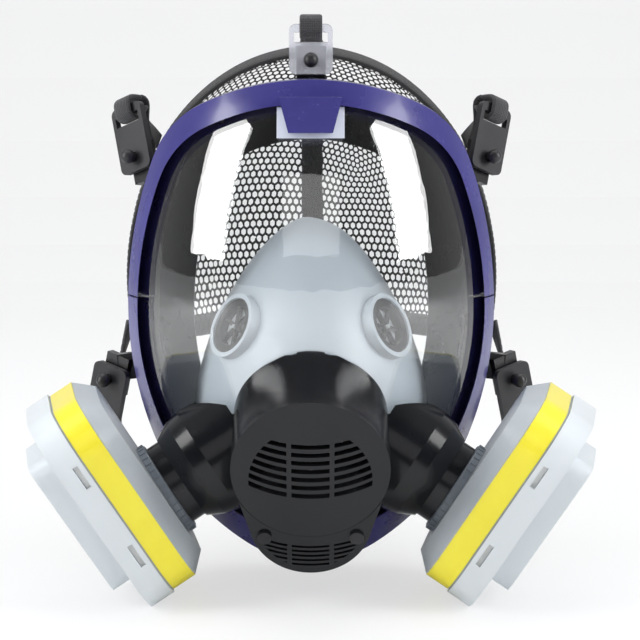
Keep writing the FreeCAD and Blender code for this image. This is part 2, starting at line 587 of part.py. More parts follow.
def valve(label, place, outer, hole, tall, flap_label, grommet=0.0):
    """A valve seat with spokes, and the flap that lifts off its front or back face."""
    ring_body = turned(label + "_ring", [(hole, "0"), (outer, "0"), (outer, tall), (hole, tall)], place)
    depth = evaluate(tall)
    inside = evaluate(hole)
    bars = spokes(label, place, inside + 0.3, size("cheek_spoke"), depth * 0.35, depth * 0.85)
    hub = bind(solid("Cylinder", label + "_hub", lift(depth * 0.35, place)), Radius=2.2, Height=depth * 0.5)
    pin_hole = bind(solid("Cylinder", label + "_pin_hole", place), Radius="0.9 + running_gap/2", Height=20)
    keep(cut(label + "_body", fuse(label + "_whole", ring_body, hub, *bars), pin_hole), label)
    flap = turned(flap_label + "_disc", [
        ("0", f"{tall} + running_gap/3"), ("0.9", f"{tall} + running_gap/3"),
        (f"{hole} + 1.4", f"{tall} + running_gap/3"), (f"{hole} + 1.4", f"{tall} + running_gap/3 + flap_thick/2"),
        ("2.0", f"{tall} + running_gap/3 + flap_thick"), ("0", f"{tall} + running_gap/3 + flap_thick"),
    ], place)
    stem = bind(solid("Cylinder", flap_label + "_stem", lift(depth * 0.1, place)), Radius="0.9", Height=depth * 0.9 + 0.3)
    keep(fuse(flap_label + "_body", flap, stem), flap_label)


EXHALE = PORT.multiply(FreeCAD.Placement(V(0, exhale_y, floor + 0.05), FreeCAD.Rotation()))
valve("exhale_seat", EXHALE, "exhale_radius", "exhale_radius - valve_wall", "exhale_seat_thick", "exhale_flap")


def louvres(name, rows, first, pitch, wide, field):
    """Curved slots cut through a cover, in rows that sag in the middle, each broken by two ribs."""
    bend = size("slot_bend_radius")
    rings = []
    for row in range(rows):
        middle = first + row * pitch + bend
        outer = port_cylinder(f"{name}_out{row}", bend + wide / 2, 20, 60, middle)
        inner = port_cylinder(f"{name}_in{row}", bend - wide / 2, 20, 60, middle)
        rings.append(cut(f"{name}_ring{row}", outer, inner))
    ribs = [port_box(f"{name}_rib{n}", size("rib_wide"), -70, 60, 10, 70, x)
            for n, x in enumerate((-size("rib_offset"), size("rib_offset")))]
    return cut(f"{name}_slots", common(f"{name}_field", fuse(f"{name}_rows", *rings), field), *ribs)


seam = size("seam_gap") / 2
speech_slots = louvres("speech", int(size("slot_rows")), size("slot_first"), size("slot_pitch"), size("slot_wide"),
                       port_cylinder("speech_field", "slot_field_radius", 15, 62, -size("slot_field_drop")))
speech_disc = port_cylinder("speech_disc", "port_radius", reach - thick, reach)
keep(cut("speech_cover_body", speech_disc, speech_slots), "speech_cover")
exhale_slots = louvres("exhale", int(size("small_slot_rows")), size("small_slot_first"), size("small_slot_pitch"),
                       size("small_slot_wide"), hull("exhale_field", -3.0, 15, 62))
exhale_blank = cut("exhale_cover_blank", hull("exhale_cover_outline", 0, reach - thick, reach - 0.6),
                   bind(port_cylinder("speech_disc_room", "port_radius + seam_gap", 20, 60)),
                   exhale_slots, port_box("above_middle", 120, -8, 60, 20, 60),
                   *[port_cylinder(f"cover_hole_{n}", "cover_screw_radius + fit_gap", 20, 60, screw_y, x)
                     for n, x in enumerate((-screw_x, screw_x))])
keep(exhale_blank, "exhale_cover")


def cover_screw(x):
    """A screw through the lower cover into its post."""
    place = PORT.multiply(FreeCAD.Placement(V(x, screw_y, reach - thick - 8), FreeCAD.Rotation()))
    return turned(f"cover_screw_{'left' if x < 0 else 'right'}", [
        ("0", "0"), ("cover_screw_radius", "0"), ("cover_screw_radius", "cover_thick + 8 - 0.5"),
        ("cover_screw_head", "cover_thick + 8 - 0.5"), ("cover_screw_head", "cover_thick + 9"), ("0", "cover_thick + 9"),
    ], place)


group("cover_screws", cover_screw(-screw_x), cover_screw(screw_x))
doc.recompute()

# ---------------------------------------------------------------- nose cup and its cheek valves
def closed_curve(points):
    curve = Part.BSplineCurve()
    curve.interpolate(points, True)
    return Part.Wire(curve.toShape())


def cup_ring(y, top_z, bottom_z, half, taper):
    """A closed curve round the cup: an oval where taper is 0, pinched to a nose bridge where it is large."""
    middle, tall = (top_z + bottom_z) / 2, (top_z - bottom_z) / 2
    angles = [2 * math.pi * step / 16 for step in range(16)]
    return closed_curve([V(half * math.sin(a) * (1 - taper * math.cos(a)), y, middle + tall * math.cos(a))
                         for a in angles])


def cup_form(name, shrink, further):
    """The cup as a solid, from the port's neck back to the face."""
    neck = PORT.multiply(FreeCAD.Placement(V(0, 0, shrink - size("cup_neck_back")), FreeCAD.Rotation()))
    radius = size("cup_neck_radius") - shrink
    ring = closed_curve([neck.multVec(V(radius * math.sin(a), radius * math.cos(a), 0)) - HOME
                         for a in (2 * math.pi * step / 16 for step in range(16))])
    top_z, bottom_z, half = size("cup_top") - shrink, size("cup_bottom") + shrink, size("cup_half_width") - shrink
    middle = cup_ring(size("cup_middle_back"), top_z - size("cup_fall"), bottom_z + 6, half - 3, 0.26)
    rear = cup_ring(size("cup_back") + further, top_z, bottom_z, half, 0.48)
    return fixed(name, Part.makeLoft([ring, middle, rear], True, False), ORIGIN)


def meet(form, x, z):
    """A frame where a line running back at (x, z) first meets a form. Own Z points into it, square to its skin."""
    line = Part.makeLine(HOME + V(x, -60, z), HOME + V(x, 120, z))
    point = min((vertex.Point for vertex in form.Shape.common(line).Vertexes), key=lambda p: p.y)
    skin = min(form.Shape.Faces, key=lambda face: face.distToShape(Part.Vertex(point))[0])
    return frame_at(point, -skin.normalAt(*skin.Surface.parameter(point)))


cup_outside = cup_form("cup_outside", 0, 0)
CHEEKS = {word: meet(cup_outside, side * size("cheek_x"), size("cheek_z")) for side, word in ((-1, "left"), (1, "right"))}
sunk = size("cheek_sunk")
cheek_room, bosses = [], []
for word, place in CHEEKS.items():
    valve(f"cheek_valve_{word}", lift(sunk - size("cheek_collar"), place), "cheek_valve_radius", "cheek_hole_radius",
          "cheek_valve_thick", f"cheek_flap_{word}")
    cheek_room.append(solid("Cylinder", f"cheek_room_{word}", lift(-12, place),
                            Radius="cheek_valve_radius + fit_gap/2", Height=30))
    bosses.append(solid("Cylinder", f"cheek_boss_{word}", lift(-size("cheek_collar"), place),
                        Radius="cheek_valve_radius + cup_wall", Height=size("cheek_collar") + 4))
cup = cut("nose_cup_blank", fuse("nose_cup_bossed", cup_outside, *bosses),
          cup_form("cup_inside", size("cup_wall"), 1), head_dome("cup_face", "flange_wall + running_gap"))
keep(cut("nose_cup_body", cup, *cheek_room, port_cylinder("cup_neck_hole", "port_tail_radius + fit_gap/2", -60, 20)),
     "nose_cup")

# ---------------------------------------------------------------- bayonet ports' grooves and cartridges
def cartridge_block(name, place, grow, low, high, inset=0.0):
    """The cartridge's outline, a rounded trapezoid, swept between two heights over the port's mouth."""
    shrink = f"{grow} - {inset}" if inset else f"{grow}"
    half_low, half_high = f"(cartridge_narrow/2 + {shrink})", f"(cartridge_wide/2 + {shrink})"
    bottom = f"cartridge_offset - cartridge_long/2 - ({shrink})"
    above = f"cartridge_offset + cartridge_long/2 + ({shrink})"
    return plate(name, [(f"-1*{half_low}", bottom), (half_low, bottom), (half_high, above), (f"-1*{half_high}", above)],
                 str(high - low), lift(low, place), str(max(size("cartridge_corner") + grow - inset, 3)))


def dish(name, place, grow, low, high, inset):
    """The cartridge's sloping back, from a smaller outline up to the full one."""
    def outline(shrink, height):
        wide_low, wide_high = size("cartridge_narrow") / 2 + shrink, size("cartridge_wide") / 2 + shrink
        bottom = size("cartridge_offset") - size("cartridge_long") / 2 - shrink
        above = size("cartridge_offset") + size("cartridge_long") / 2 + shrink
        corners = [V(-wide_low, bottom, height), V(wide_low, bottom, height), V(wide_high, above, height),
                   V(-wide_high, above, height), V(-wide_low, bottom, height)]
        flat = Part.makePolygon(corners)
        radius = size("cartridge_corner") + shrink
        edges, ends = [], []
        for number in range(4):
            corner, before, after = corners[number], corners[(number - 1) % 4], corners[(number + 1) % 4]
            to_before, to_after = (before - corner).normalize(), (after - corner).normalize()
            half_turn = to_before.getAngle(to_after) / 2
            reach_out = radius / math.tan(half_turn)
            start, finish = corner + to_before * reach_out, corner + to_after * reach_out
            bisector = (to_before + to_after).normalize()
            middle = corner + bisector * (radius / math.sin(half_turn) - radius)
            ends.append((start, middle, finish))
        for number, (start, middle, finish) in enumerate(ends):
            edges.append(Part.Arc(start, middle, finish).toShape())
            edges.append(Part.LineSegment(finish, ends[(number + 1) % 4][0]).toShape())
        return Part.Wire(edges) if flat else None
    loft = Part.makeLoft([outline(grow - inset, low), outline(grow, high)], True, True)
    return fixed(name, loft, place)


def cartridge(word, place):
    """One cartridge: bayonet shell, ring, screens, sorbent bed, label band, particle pad and retainer."""
    ring_tall, dish_tall, tall = size("ring_tall"), size("dish_tall"), size("body_tall")
    rim, wall = ring_tall + dish_tall, size("shell_wall")
    end = rim + tall
    spigot = solid("Cylinder", f"spigot_{word}", lift(-size("spigot_long"), place),
                   Radius="spigot_radius", Height=size("spigot_long") + ring_tall + 0.5)
    lug_low = -size("bayonet_low")
    lug_ring = solid("Cylinder", f"bayonet_{word}_ring", lift(lug_low, place), Radius="bayonet_lug", Height="bayonet_thick")
    bar = solid("Box", f"bayonet_{word}_bar", place.multiply(FreeCAD.Placement(
        V(-30, -size("bayonet_wide") / 2, -20), FreeCAD.Rotation())), Length=60, Width="bayonet_wide", Height=30)
    lugs = common(f"bayonet_{word}_lugs", lug_ring, bar)
    shell = cut(
        f"cartridge_shell_{word}_body",
        fuse(f"shell_{word}_whole", cartridge_block(f"shell_{word}_body", place, 0, rim, end),
             dish(f"shell_{word}_dish", place, 0, ring_tall, rim, size("dish_inset")), spigot, lugs),
        cartridge_block(f"shell_{word}_room", place, -wall, rim, end + 1),
        dish(f"shell_{word}_dish_room", place, -wall, ring_tall + wall, rim, size("dish_inset")),
        solid("Cylinder", f"spigot_{word}_bore", lift(-40, place), Radius="spigot_bore", Height=60))
    keep(shell, f"cartridge_shell_{word}")
    ring = turned(f"bayonet_ring_{word}_body", [
        ("spigot_radius + fit_gap", "fit_gap"), ("ring_radius - 0.8", "fit_gap"), ("ring_radius", "fit_gap + 0.8"),
        ("ring_radius", "ring_tall - 0.05"), ("spigot_radius + fit_gap", "ring_tall - 0.05"),
    ], place)
    keep(ring, f"bayonet_ring_{word}")
    gap, screen = size("bed_gap"), size("screen_thick")
    inner_screen = cartridge_block(f"inner_screen_{word}_blank", place, -wall - gap, rim, rim + screen)
    pegs = [solid("Cylinder", f"screen_{word}_hole{n}", place.multiply(FreeCAD.Placement(
        V(12 * math.cos(n * math.pi / 3), 12 * math.sin(n * math.pi / 3), 0), FreeCAD.Rotation())), Radius=3, Height=30)
        for n in range(6)]
    keep(cut(f"inner_screen_{word}_body", inner_screen, *pegs), f"inner_screen_{word}")
    bed_low, bed_high = rim + screen + 0.05, end - screen - 0.1
    keep(cartridge_block(f"sorbent_{word}_body", place, -wall - gap, bed_low, bed_high), f"sorbent_bed_{word}")
    keep(cartridge_block(f"outer_screen_{word}_body", place, -wall - gap, end - screen, end), f"outer_screen_{word}")
    label_low = rim + 0.4
    label = cut(f"label_{word}_body",
                cartridge_block(f"label_{word}_out", place, size("label_thick"), label_low, label_low + size("label_tall")),
                cartridge_block(f"label_{word}_in", place, 0.02, label_low - 1, end + 2))
    keep(label, f"label_band_{word}")
    keep(cartridge_block(f"pad_{word}_body", place, -1.0, end + 0.1, end + 0.1 + size("pad_thick")), f"filter_pad_{word}")
    grow, skin = size("retainer_grow"), size("retainer_wall")
    low = end - size("retainer_overlap") + 1.2
    high = low + size("retainer_tall")
    raised, lid = size("raised_inset"), high + size("raised_tall")
    clip_y = size("cartridge_offset") - size("cartridge_long") / 2 + 26
    windows = [solid("Box", f"window_{word}_{n}", place.multiply(FreeCAD.Placement(
        V(-70, y - size("window_long") / 2, low + 2.2), FreeCAD.Rotation())),
        Length=140, Width="window_long", Height="window_tall") for n, y in enumerate((clip_y, clip_y + 42))]
    grille = [solid("Box", f"grille_{word}_{n}", place.multiply(FreeCAD.Placement(
        V(-size("grille_long") / 2, size("cartridge_offset") + size("grille_pitch") * (n - 3) - 2, lid - skin - 1),
        FreeCAD.Rotation())), Length="grille_long", Width=4, Height=40) for n in range(7)]
    retainer = cut(
        f"retainer_{word}_body",
        fuse(f"retainer_{word}_whole", cartridge_block(f"retainer_{word}_out", place, grow, low, high),
             cartridge_block(f"retainer_{word}_raised", place, grow, high - 0.5, lid, raised)),
        cartridge_block(f"retainer_{word}_in", place, size("label_thick") + 0.1, low - 2, high - skin),
        cartridge_block(f"retainer_{word}_raised_in", place, grow - skin, high - 5, lid - skin, raised),
        *windows, *grille)
    keep(retainer, f"retainer_{word}")


for word, place in INLETS.items():
    cartridge(word, place)

# ---------------------------------------------------------------- head harness
def net_dome(name, grow):
    middle = V(0, size("net_mid_back"), size("net_mid_height"))
    place = FreeCAD.Placement(HOME + middle, FreeCAD.Rotation(V(0, 0, 1), -90))
    return solid("Ellipsoid", name, place, Radius1=f"net_half_height + {grow}", Radius2=f"net_depth + {grow}",
                 Radius3=f"net_half_width + {grow}")


def behind_front(name, shift, depth=400.0):
    """A box behind the net's leaning front edge, moved back by shift."""
    low, high = V(0, size("net_front_low"), size("net_bottom")), V(0, size("net_front_top"), size("net_mid_height")
                                                                  + size("net_half_height"))
    lean = high - low
    place = FreeCAD.Placement(HOME + low + V(0, shift, 0), FreeCAD.Rotation(V(0, 1, 0), V(0, 0, 1), V(1, 0, 0), "YZX"))
    angle = math.degrees(math.atan2(-lean.y, lean.z))
    turn = FreeCAD.Placement(HOME + low + V(0, shift, 0), FreeCAD.Rotation(V(1, 0, 0), angle))
    return solid("Box", name, turn.multiply(FreeCAD.Placement(V(-150, 0, -200), FreeCAD.Rotation())) if place else turn,
                 Length=300, Width=depth, Height=500)


thick, gap = size("net_thick"), size("tape_gap")
keep(cut("net_shell", common("net_blank", net_dome("net_out", "0"), behind_front("net_front", 0),
                             slab("net_room", size("net_bottom"), 300)), net_dome("net_in", "-1*net_thick")), "harness_net")


def tape(label, *limits):
    """A band of fabric lying on the net."""
    blank = common(label + "_blank", net_dome(label + "_out", "tape_gap + tape_thick"), *limits)
    return cut(label + "_shell", blank, net_dome(label + "_in", "tape_gap"))


wide = size("tape_wide")
edge_tape = cut("edge_tape_body", tape("edge_tape", behind_front("edge_front", 0), slab("edge_room", size("net_bottom"), 300)),
                behind_front("edge_back", wide))
keep(edge_tape, "harness_edge_tape")
nape = cut("nape_tape_body", tape("nape_tape", behind_front("nape_front", wide + 0.3),
                                  slab("nape_room", size("net_bottom"), size("net_bottom") + wide)))
keep(nape, "harness_nape_band")
crown = tape("crown_tape", behind_front("crown_front", wide + 0.3), slab("crown_room", size("net_bottom") + wide + 0.3, 300),
             bind(solid("Box", "crown_middle", at(-wide / 2, 0, 0)), Length="tape_wide", Width=300, Height=300))
keep(crown, "harness_crown_band")


def section(point, along, side):
    """A frame at a point whose own Z runs along a strap and whose own X lies across it."""
    z_axis = V(along).normalize()
    y_axis = z_axis.cross(V(side)).normalize()
    return frame_at(point, z_axis, y_axis)


def ribbon_solid(name, place, route):
    """A flat strap of constant thickness along a route of (y, z) points in place's own YZ plane."""
    half = size("strap_thick") / 2
    points = [V(0, y, z) for y, z in route]
    ways = [(after - before).normalize() for before, after in zip(points, points[1:])]
    near, far = [], []
    for number, point in enumerate(points):
        before, after = ways[max(number - 1, 0)], ways[min(number, len(ways) - 1)]
        middle = (before + after).normalize()
        out = V(0, -middle.z, middle.y) * (half / max(middle.dot(after), 0.3))
        near.append(point + out)
        far.append(point - out)
    outline = Part.makePolygon([*near, *reversed(far), near[0]])
    face = Part.Face(outline)
    wide = size("strap_wide")
    face.translate(V(-wide / 2, 0, 0))
    return fixed(name, face.extrude(V(wide, 0, 0)), place)


def on_net(x, y, z, off):
    """The point at a height off the net's skin, on the line from its middle through a point."""
    middle = V(0, size("net_mid_back"), size("net_mid_height"))
    way = V(x, y, z) - middle
    reach = sum((way[n] / (size(name) + off)) ** 2 for n, name in enumerate(("net_half_width", "net_depth", "net_half_height")))
    return HOME + middle + way / math.sqrt(reach)


def rectangle(place):
    wide, thick = size("strap_wide") / 2, size("strap_thick") / 2
    corners = [(-wide, -thick), (wide, -thick), (wide, thick), (-wide, thick), (-wide, -thick)]
    return Part.makePolygon([place.multVec(V(x, y, 0)) for x, y in corners])


ENDS = {"top": (0, 96, 230)}
for side, word in ((-1, "left"), (1, "right")):
    ENDS[f"temple_{word}"] = (side * 70, 107, 188)
    ENDS[f"cheek_{word}"] = (side * 84, 128, 101)
for name, place in BUCKLES.items():
    y, bottom = size(SLOT_AT[name]), 1.2
    end_bar = size("buckle_long" if name == "top" else "side_buckle_long") / 2 + y / 2
    front, behind, middle = bottom + size("buckle_thick") + 1.5, bottom - 1.5, bottom + size("buckle_thick") / 2
    out = end_bar + 1.6
    route = [(y + 5.5, behind - 5.5), (y + 1.2, behind - 1.0), (y, middle), (y + 1.5, front - 0.2), (y + 3.8, front + 0.3),
             (out, front - 0.2), (out + 1.8, middle), (out + 1.8, behind - 3.0), (out + 0.6, behind - 6.0)]
    loop = ribbon_solid(f"strap_{name}_loop", place, route)
    start = place.multVec(V(0, out + 0.8, behind - 5.5))
    stop = on_net(*ENDS[name], size("tape_gap") + size("tape_thick") + size("strap_thick") / 2 + 0.7)
    centre = HOME + V(0, size("net_mid_back"), size("net_mid_height"))
    off_net = (stop - centre).normalize()
    down = -place.Rotation.multVec(V(0, 0, 1))
    ahead = (stop - start).normalize()
    side_at_start = place.Rotation.multVec(V(1, 0, 0))
    side_at_stop = ahead.cross(off_net).normalize()
    if side_at_stop.dot(side_at_start) < 0:
        side_at_stop = -side_at_stop
    legs = [rectangle(section(start, down, side_at_start)),
            rectangle(section(start + (stop - start) * 0.5 + off_net * 3, ahead, side_at_start + side_at_stop)),
            rectangle(section(stop, ahead, side_at_stop))]
    tail = fixed(f"strap_{name}_tail", Part.makeLoft(legs, True, True))
    keep(fuse(f"strap_{name}_body", loop, tail), f"strap_{name}")

# ---------------------------------------------------------------- checks and output
doc.recompute()
for thing in doc.Objects:
    if "Invalid" in thing.State or "Error" in thing.State:
        raise RuntimeError(f"{thing.Name} failed: {thing.State}")
os.makedirs("parts", exist_ok=True)
for thing in parts:
    shape = thing.Shape
    if shape.isNull() or not shape.isValid() or shape.Volume < 1 or not shape.Solids:
        raise RuntimeError(f"{thing.Label} has no valid solid")
    print(f"{thing.Label:26s} solids {len(shape.Solids)}  volume {shape.Volume / 1000:8.2f} cm3")
    shape.exportStep(f"parts/{thing.Label}.step")
print(len(parts), "sub-parts")
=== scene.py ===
# Full face respirator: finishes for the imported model, its knitted harness, webbing, stitching and studio.
import json
import math

import bpy
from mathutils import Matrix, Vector


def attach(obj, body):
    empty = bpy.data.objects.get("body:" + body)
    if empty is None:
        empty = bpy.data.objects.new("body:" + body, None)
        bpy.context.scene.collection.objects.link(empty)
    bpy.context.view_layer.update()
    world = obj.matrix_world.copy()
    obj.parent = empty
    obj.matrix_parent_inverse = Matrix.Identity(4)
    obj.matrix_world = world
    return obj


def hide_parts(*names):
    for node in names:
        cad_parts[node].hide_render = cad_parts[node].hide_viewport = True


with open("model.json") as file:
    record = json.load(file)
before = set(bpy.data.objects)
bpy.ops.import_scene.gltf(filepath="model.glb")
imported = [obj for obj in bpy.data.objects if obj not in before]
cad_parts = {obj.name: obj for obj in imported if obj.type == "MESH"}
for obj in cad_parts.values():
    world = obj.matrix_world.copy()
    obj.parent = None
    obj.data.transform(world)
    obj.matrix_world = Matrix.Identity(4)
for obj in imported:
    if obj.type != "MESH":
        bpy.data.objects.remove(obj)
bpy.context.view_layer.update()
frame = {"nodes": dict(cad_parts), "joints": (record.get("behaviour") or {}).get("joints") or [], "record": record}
scene = bpy.context.scene
print("frame loaded:", len(frame["nodes"]), "nodes")

# ---- shader groups that several finishes share


def newGroup(name, inputs, outputs):
    group = bpy.data.node_groups.new(name, "ShaderNodeTree")
    for label, value in inputs.items():
        group.interface.new_socket(label, in_out="INPUT", socket_type="NodeSocketFloat").default_value = value
    for label in outputs:
        group.interface.new_socket(label, in_out="OUTPUT", socket_type="NodeSocketFloat")
    return group, group.nodes.new("NodeGroupInput"), group.nodes.new("NodeGroupOutput")


def mathNode(tree, operation, a, b=None, clamp=False):
    node = tree.nodes.new("ShaderNodeMath")
    node.operation = operation
    node.use_clamp = clamp
    for socket, value in zip(node.inputs, (a, b)):
        if value is None:
            continue
        if isinstance(value, (int, float)):
            socket.default_value = value
        else:
            tree.links.new(value, socket)
    return node.outputs[0]


def noiseNode(tree, scale, detail=3.0, vector=None, roughness=0.55):
    node = tree.nodes.new("ShaderNodeTexNoise")
    node.inputs["Detail"].default_value = detail
    node.inputs["Roughness"].default_value = roughness
    if isinstance(scale, (int, float)):
        node.inputs["Scale"].default_value = scale
    else:
        tree.links.new(scale, node.inputs["Scale"])
    if vector is not None:
        tree.links.new(vector, node.inputs["Vector"])
    return node.outputs[0]


def buildMouldedGrain():
    # moulded plastic and rubber: a fine pebble for bump, a slow mottling for colour and gloss
    group, given, result = newGroup("mouldedGrain", {"Fine": 2600.0, "Slow": 24.0}, ["Height", "Mottle"])
    place = group.nodes.new("ShaderNodeTexCoord").outputs["Object"]
    fine = noiseNode(group, given.outputs["Fine"], 2.0, place)
    slow = noiseNode(group, given.outputs["Slow"], 5.0, place, 0.62)
    group.links.new(fine, result.inputs["Height"])
    group.links.new(slow, result.inputs["Mottle"])
    return group


def buildSettledDust():
    # faint dust on faces that look up
    group, given, result = newGroup("settledDust", {"Amount": 0.2, "Patch": 90.0}, ["Mask"])
    normal = group.nodes.new("ShaderNodeNewGeometry").outputs["Normal"]
    split = group.nodes.new("ShaderNodeSeparateXYZ")
    group.links.new(normal, split.inputs[0])
    place = group.nodes.new("ShaderNodeTexCoord").outputs["Object"]
    patch = noiseNode(group, given.outputs["Patch"], 6.0, place, 0.7)
    upward = mathNode(group, "POWER", mathNode(group, "MAXIMUM", split.outputs["Z"], 0.0), 2.0)
    mask = mathNode(group, "MULTIPLY", mathNode(group, "MULTIPLY", upward, patch), given.outputs["Amount"],
                    True)
    group.links.new(mask, result.inputs["Mask"])
    return group


def buildRibWeave():
    # webbing: ribs along the strap crossed by picks, read from the piece's own UV map in millimetres
    group, given, result = newGroup("ribWeave", {"Rib": 0.9, "Pick": 0.7}, ["Height", "Shade"])
    uv = group.nodes.new("ShaderNodeUVMap").outputs[0]
    split = group.nodes.new("ShaderNodeSeparateXYZ")
    group.links.new(uv, split.inputs[0])

    def ripple(value, pitch):
        turns = mathNode(group, "DIVIDE", mathNode(group, "MULTIPLY", value, 2 * math.pi), pitch)
        return mathNode(group, "ADD", mathNode(group, "MULTIPLY", mathNode(group, "SINE", turns), 0.5), 0.5)

    ribs = ripple(split.outputs["X"], given.outputs["Rib"])
    picks = ripple(split.outputs["Y"], given.outputs["Pick"])
    weave = mathNode(group, "MULTIPLY", mathNode(group, "ADD", ribs, picks), 0.5)
    fuzz = noiseNode(group, 3.0, 3.0, uv)
    group.links.new(weave, result.inputs["Height"])
    # Shade: the weave's height mixed with fuzz, so the grooves between ribs and picks carry painted shade and the
    # fuzz adds random tone
    group.links.new(mathNode(group, "MULTIPLY", mathNode(group, "ADD", weave, fuzz), 0.5),
                    result.inputs["Shade"])
    return group


mouldedGrain, settledDust, ribWeave = buildMouldedGrain(), buildSettledDust(), buildRibWeave()


def useGroup(tree, group, **values):
    node = tree.nodes.new("ShaderNodeGroup")
    node.node_tree = group
    for label, value in values.items():
        node.inputs[label].default_value = value
    return node


def mixColours(tree, factor, low, high):
    node = tree.nodes.new("ShaderNodeMix")
    node.data_type = "RGBA"
    colours = [socket for socket in node.inputs if socket.type == "RGBA"]
    for socket, value in zip(colours, (low, high)):
        if isinstance(value, tuple):
            socket.default_value = (*value, 1.0)
        else:
            tree.links.new(value, socket)
    if isinstance(factor, (int, float)):
        node.inputs[0].default_value = factor
    else:
        tree.links.new(factor, node.inputs[0])
    return [socket for socket in node.outputs if socket.type == "RGBA"][0]


def mapRange(tree, value, low, high, fromLow=0.3, fromHigh=0.7):
    node = tree.nodes.new("ShaderNodeMapRange")
    tree.links.new(value, node.inputs["Value"])
    for label, number in (("From Min", fromLow), ("From Max", fromHigh), ("To Min", low), ("To Max", high)):
        node.inputs[label].default_value = number
    return node.outputs["Result"]


def bump(tree, height, strength, depth):
    node = tree.nodes.new("ShaderNodeBump")
    node.inputs["Strength"].default_value = strength
    node.inputs["Distance"].default_value = depth
    tree.links.new(height, node.inputs["Height"])
    return node.outputs["Normal"]


def newMaterial(name):
    material = bpy.data.materials.new(name)
    material.use_nodes = True
    return material, material.node_tree, material.node_tree.nodes["Principled BSDF"]


def plastic(name, look):
    # moulded plastic or rubber with a mottled gloss, pebble grain and a little dust
    material, tree, surface = newMaterial(name)
    grain = useGroup(tree, mouldedGrain, Fine=look.get("fine", 2600.0), Slow=look.get("slow", 24.0))
    colour = mixColours(tree, mapRange(tree, grain.outputs["Mottle"], 0.0, 1.0), look["dark"], look["light"])
    dust = useGroup(tree, settledDust, Amount=look.get("dust", 0.06))
    colour = mixColours(tree, dust.outputs["Mask"], colour, (0.62, 0.61, 0.58))
    tree.links.new(colour, surface.inputs["Base Color"])
    rough = look["rough"]
    tree.links.new(mapRange(tree, grain.outputs["Mottle"], rough * 0.85, rough * 1.2),
                   surface.inputs["Roughness"])
    tree.links.new(bump(tree, grain.outputs["Height"], look.get("bump", 0.15), 0.0002),
                   surface.inputs["Normal"])
    for socket, value in look.get("sockets", {}).items():
        surface.inputs[socket].default_value = value
    return material


looks = {
    "frame_violet": dict(dark=(0.030, 0.026, 0.170), light=(0.044, 0.038, 0.230), rough=0.26, bump=0.04,
                         sockets={"Coat Weight": 0.5, "Coat Roughness": 0.12}),
    "dark_screws": dict(dark=(0.02, 0.02, 0.024), light=(0.05, 0.05, 0.055), rough=0.35,
                        sockets={"Metallic": 0.8}),
    "pale_plate": dict(dark=(0.60, 0.64, 0.74), light=(0.70, 0.74, 0.82), rough=0.3, bump=0.05),
    "seal_rubber": dict(dark=(0.004, 0.004, 0.005), light=(0.009, 0.009, 0.011), rough=0.26, bump=0.06,
                        dust=0.02, sockets={"Coat Weight": 0.25, "Coat Roughness": 0.15}),
    "buckle_black": dict(dark=(0.010, 0.010, 0.012), light=(0.022, 0.022, 0.026), rough=0.38),
    "port_black": dict(dark=(0.004, 0.0045, 0.006), light=(0.010, 0.011, 0.014), rough=0.2,
                       bump=0.06, dust=0.015,
                       sockets={"Specular IOR Level": 0.3, "Coat Weight": 0.15, "Coat Roughness": 0.08}),
    "diaphragm_film": dict(dark=(0.35, 0.36, 0.38), light=(0.5, 0.51, 0.53), rough=0.3,
                           sockets={"Metallic": 0.9}),
    "valve_black": dict(dark=(0.010, 0.010, 0.011), light=(0.020, 0.020, 0.022), rough=0.34),
    "flap_rubber": dict(dark=(0.50, 0.53, 0.56), light=(0.60, 0.63, 0.66), rough=0.4,
                        sockets={"Transmission Weight": 0.3}),
    "cartridge_grey": dict(dark=(0.40, 0.44, 0.47), light=(0.48, 0.52, 0.56), rough=0.4, bump=0.18),
    "ring_grey": dict(dark=(0.16, 0.19, 0.22), light=(0.22, 0.25, 0.29), rough=0.38),
    "screen_white": dict(dark=(0.62, 0.63, 0.63), light=(0.72, 0.73, 0.73), rough=0.5),
    "sorbent_black": dict(dark=(0.008, 0.008, 0.008), light=(0.05, 0.05, 0.05), rough=0.8, fine=700.0,
                          slow=900.0, bump=0.9),
    "label_yellow": dict(dark=(0.84, 0.72, 0.02), light=(0.90, 0.80, 0.04), rough=0.34, bump=0.06,
                         sockets={"Coat Weight": 0.3, "Coat Roughness": 0.1}),
    "pad_white": dict(dark=(0.70, 0.70, 0.69), light=(0.80, 0.80, 0.79), rough=0.85, fine=1300.0,
                      slow=160.0, bump=0.7),
}
finishes = {slot: plastic(slot, look) for slot, look in looks.items()}


def clearMaterial(name, tint, rough, transmission, ior, shadowClear=0.85):
    # a clear or frosted skin: it lets most light through to what is behind it
    material, tree, surface = newMaterial(name)
    grain = useGroup(tree, mouldedGrain, Fine=900.0, Slow=16.0)
    tree.links.new(mapRange(tree, grain.outputs["Mottle"], rough * 0.8, rough * 1.25 + 0.004),
                   surface.inputs["Roughness"])
    tree.links.new(mixColours(tree, mapRange(tree, grain.outputs["Mottle"], 0.0, 1.0), tint,
                              tuple(min(1.0, c * 1.02) for c in tint)), surface.inputs["Base Color"])
    surface.inputs["Transmission Weight"].default_value = transmission
    surface.inputs["IOR"].default_value = ior
    through = tree.nodes.new("ShaderNodeBsdfTransparent")
    through.inputs["Color"].default_value = (*tint, 1.0)
    blendNode = tree.nodes.new("ShaderNodeMixShader")
    shadow = tree.nodes.new("ShaderNodeLightPath").outputs["Is Shadow Ray"]
    tree.links.new(mathNode(tree, "MULTIPLY", shadow, shadowClear), blendNode.inputs[0])
    tree.links.new(surface.outputs[0], blendNode.inputs[1])
    tree.links.new(through.outputs[0], blendNode.inputs[2])
    tree.links.new(blendNode.outputs[0], tree.nodes["Material Output"].inputs["Surface"])
    return material


